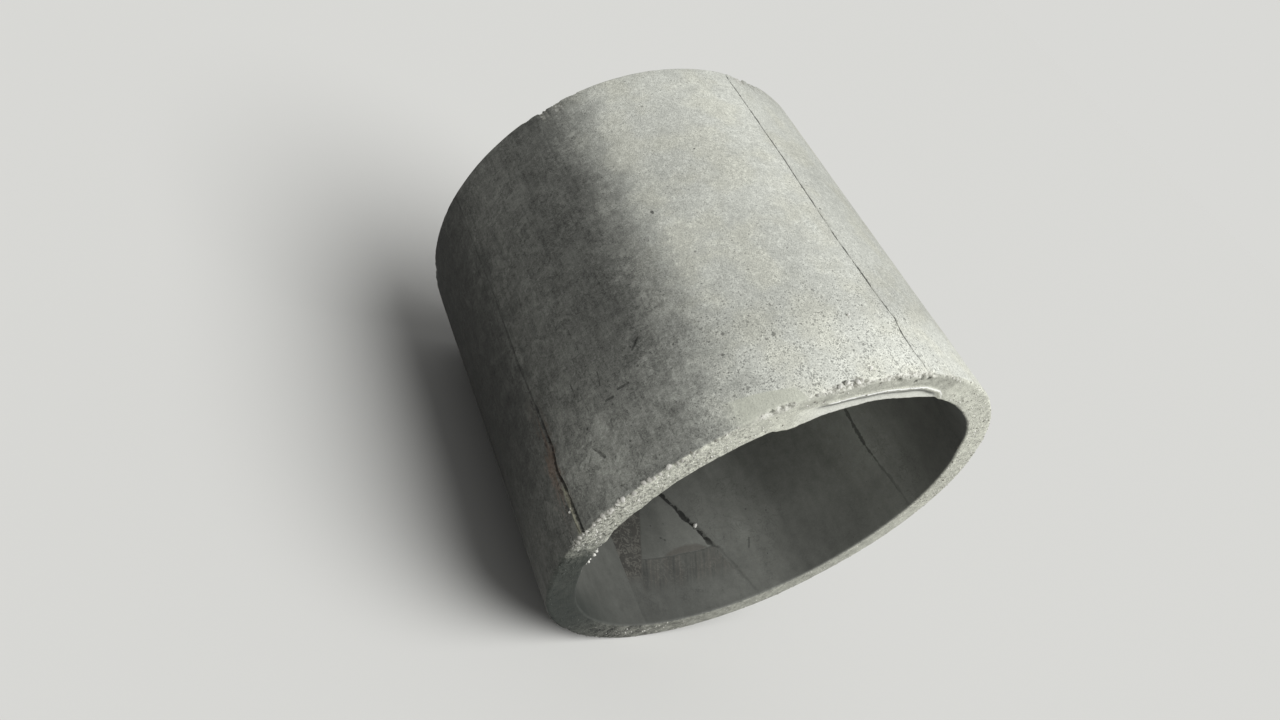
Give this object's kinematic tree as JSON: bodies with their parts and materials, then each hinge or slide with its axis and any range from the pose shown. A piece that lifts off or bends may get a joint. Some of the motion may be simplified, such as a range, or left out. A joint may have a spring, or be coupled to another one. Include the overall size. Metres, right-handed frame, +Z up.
{
  "type": "concrete manhole ring",
  "caption": "Precast concrete manhole ring with plain ends, lying on its side; rings of this kind are stacked to line a manhole or well shaft.",
  "frame": {"origin": "on the ground below the ring's middle, at the bottom centre of its box", "axes": "+Y along the ring's axis from its front end to its back end, +Z up as it lies on its side, +X to the right as seen from the front end"},
  "size_m": [1.0269, 0.9, 1.027],
  "materials": {
    "concrete": "rough cast concrete"
  },
  "bodies": {
    "root": {"concrete_ring": "concrete"}
  },
  "joints": []
}
